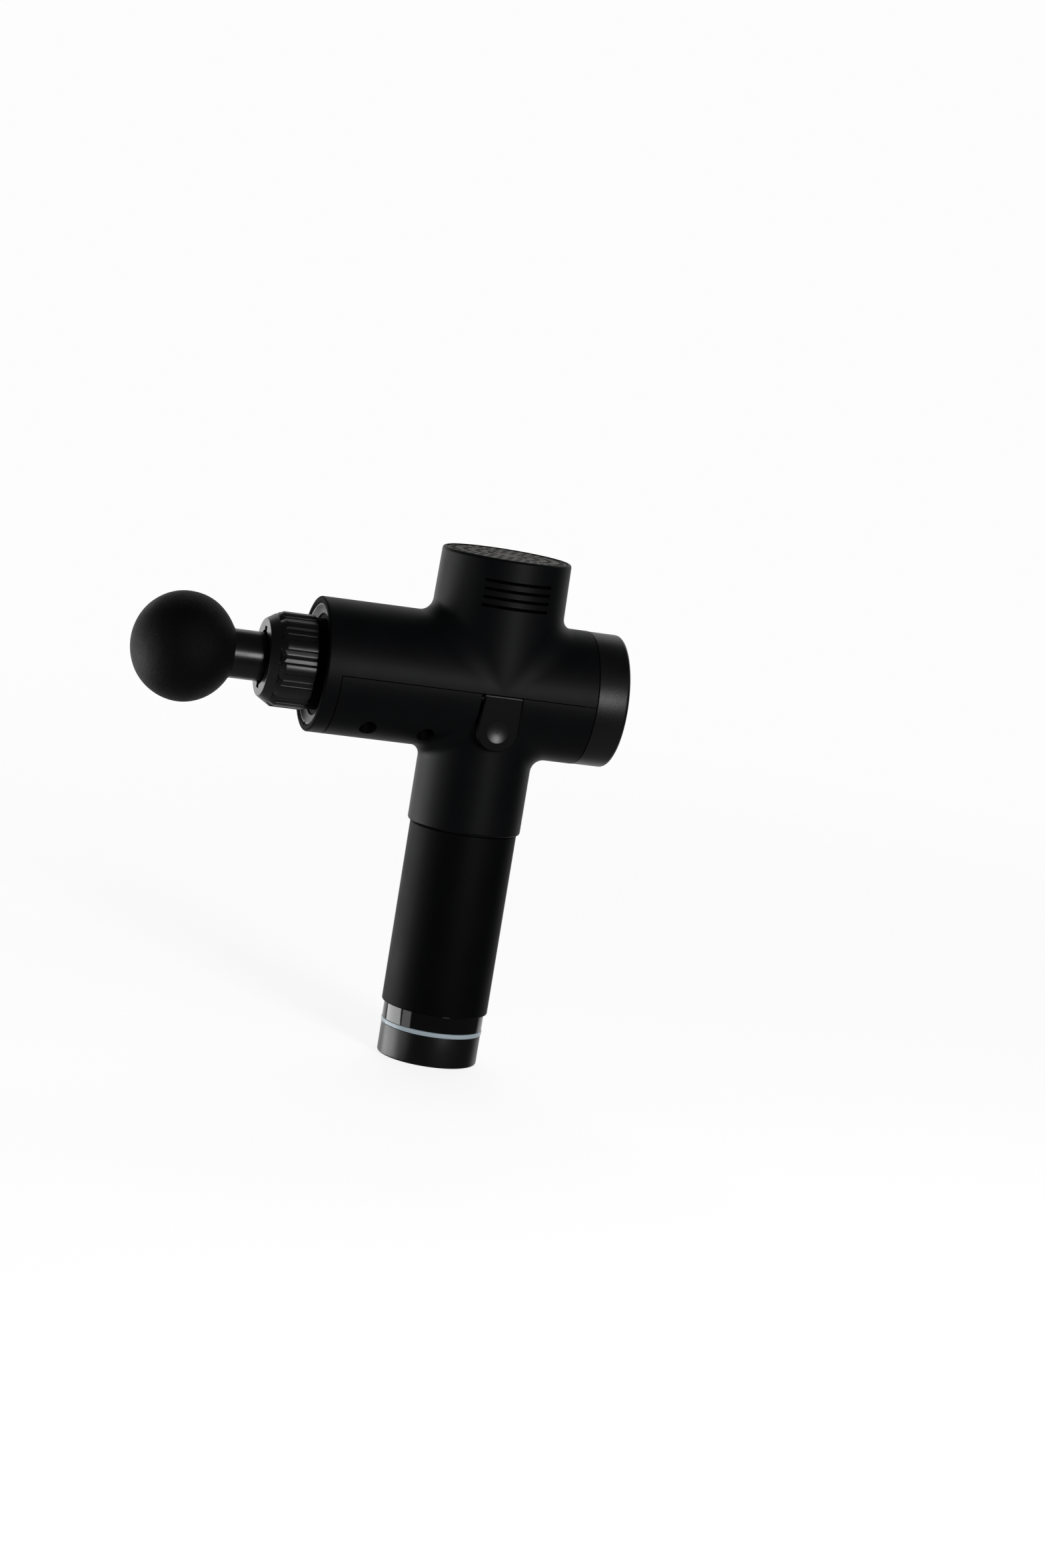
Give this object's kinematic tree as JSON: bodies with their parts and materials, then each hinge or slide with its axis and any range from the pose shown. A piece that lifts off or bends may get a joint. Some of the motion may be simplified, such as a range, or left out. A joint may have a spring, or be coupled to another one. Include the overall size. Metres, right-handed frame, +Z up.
{
  "type": "massage gun",
  "caption": "Hand-held percussion massager: T-shaped body, foam ball on a reciprocating stem, ribbed nozzle, vented motor dome and a pull-out battery grip that stands on its base.",
  "frame": {"origin": "centre of the flat underside of the battery grip's base cap, on the handle's axis", "axes": "+Z up along the handle, X along the barrel with the massage head pointing to -X, Y across the barrel; the axis of the barrel is 185 mm above the origin"},
  "size_m": [0.2378, 0.0652, 0.2492],
  "materials": {
    "soft_touch_black": "soft-touch matte",
    "satin_black": "fine satin texture",
    "gloss_black": "gloss",
    "display_glass": "polished",
    "grille": "satin",
    "foam": "fine-pored foam",
    "alloy": "machined",
    "steel": "ground",
    "zinc_screw": "blackened",
    "magnet": "plated",
    "copper": "enamelled wire",
    "contact_brass": "plated",
    "bronze": "sintered",
    "board": "solder mask",
    "light_board_white": "solder mask",
    "components": "moulded",
    "nylon": "moulded",
    "cell_wrap": "shrink wrap",
    "wire_red": "insulation",
    "ribbon": "film",
    "seal_rubber": "moulded",
    "light_guide": "translucent"
  },
  "bodies": {
    "housing": {"upper_housing": "soft_touch_black", "lower_housing": "soft_touch_black", "dome_housing": "soft_touch_black", "neck_housing": "soft_touch_black", "top_grille": "grille", "dust_screen": "components", "front_ring": "satin_black", "rear_cap": "satin_black", "display_lens": "display_glass", "display_board": "board", "motor_frame": "alloy", "frame_screws": "steel", "shaft_bearings": "steel", "stator_core": "steel", "stator_windings": "copper", "guide_block": "nylon", "linear_bush": "bronze", "control_board": "board", "board_parts": "components", "contact_block": "components", "spring_contacts": "contact_brass", "housing_screws": "zinc_screw", "button_pins": "steel", "button_springs": "steel", "power_wires": "wire_red", "display_ribbon": "ribbon"},
    "collar": {"nozzle_collar": "gloss_black"},
    "rotor": {"rotor_bell": "steel", "rotor_magnets": "magnet", "motor_shaft": "steel", "crank_wheel": "steel", "crank_pin": "steel", "pin_clip": "steel"},
    "conrod": {"connecting_rod": "alloy", "big_end_bearing": "steel", "small_end_bush": "bronze"},
    "piston": {"piston": "alloy", "wrist_pin": "steel"},
    "massage_head": {"head_stem": "satin_black", "foam_ball": "foam", "stem_o_rings": "seal_rubber"},
    "battery_pack": {"pack_shell": "satin_black", "grip_sleeve": "soft_touch_black", "gloss_band": "gloss_black", "light_ring": "light_guide", "base_cap": "satin_black", "base_screws": "zinc_screw", "light_board": "light_board_white", "cells": "cell_wrap", "cell_holders": "components", "cell_links": "steel", "protection_board": "board", "contact_tower": "components", "pack_contacts": "contact_brass", "charging_jack": "components", "jack_pin": "contact_brass", "switch_bezel": "gloss_black"},
    "rocker": {"power_rocker": "satin_black"},
    "button_left": {"release_button_left": "satin_black"},
    "button_right": {"release_button_right": "satin_black"}
  },
  "joints": [
    {"name": "collar_twist", "type": "hinge", "parent": "housing", "child": "collar", "pos_m": [-0.095, 0, 0.185], "axis": [1, 0, 0], "range_deg": [0, 45]},
    {"name": "motor_spin", "type": "hinge", "parent": "housing", "child": "rotor", "pos_m": [0, 0, 0.185], "axis": [0, 0, 1], "continuous": true},
    {"name": "rod_swing", "type": "hinge", "parent": "rotor", "child": "conrod", "pos_m": [-0.005, 0, 0.185], "axis": [0, 0, 1], "continuous": true},
    {"name": "piston_stroke", "type": "slide", "parent": "housing", "child": "piston", "axis": [1, 0, 0], "range_m": [0, 0.01]},
    {"name": "head_pull", "type": "slide", "parent": "piston", "child": "massage_head", "axis": [-1, 0, 0], "range_m": [0, 0.045]},
    {"name": "pack_pull", "type": "slide", "parent": "housing", "child": "battery_pack", "axis": [0, 0, -1], "range_m": [0, 0.045]},
    {"name": "rocker_tilt", "type": "hinge", "parent": "battery_pack", "child": "rocker", "pos_m": [-0.008, 0, 0.0054], "axis": [1, 0, 0], "range_deg": [0, 14]},
    {"name": "left_button_press", "type": "hinge", "parent": "housing", "child": "button_left", "pos_m": [0, -0.0293, 0.1825], "axis": [1, 0, 0], "range_deg": [0, 3], "stiffness_Nm_per_rad": 0.5, "springref_deg": -4.58},
    {"name": "right_button_press", "type": "hinge", "parent": "housing", "child": "button_right", "pos_m": [0, 0.0293, 0.1825], "axis": [-1, 0, 0], "range_deg": [0, 3], "stiffness_Nm_per_rad": 0.5, "springref_deg": -4.58}
  ],
  "couplings": [
    {"joint": "rod_swing", "follows": "motor_spin", "ratio": -1}
  ]
}
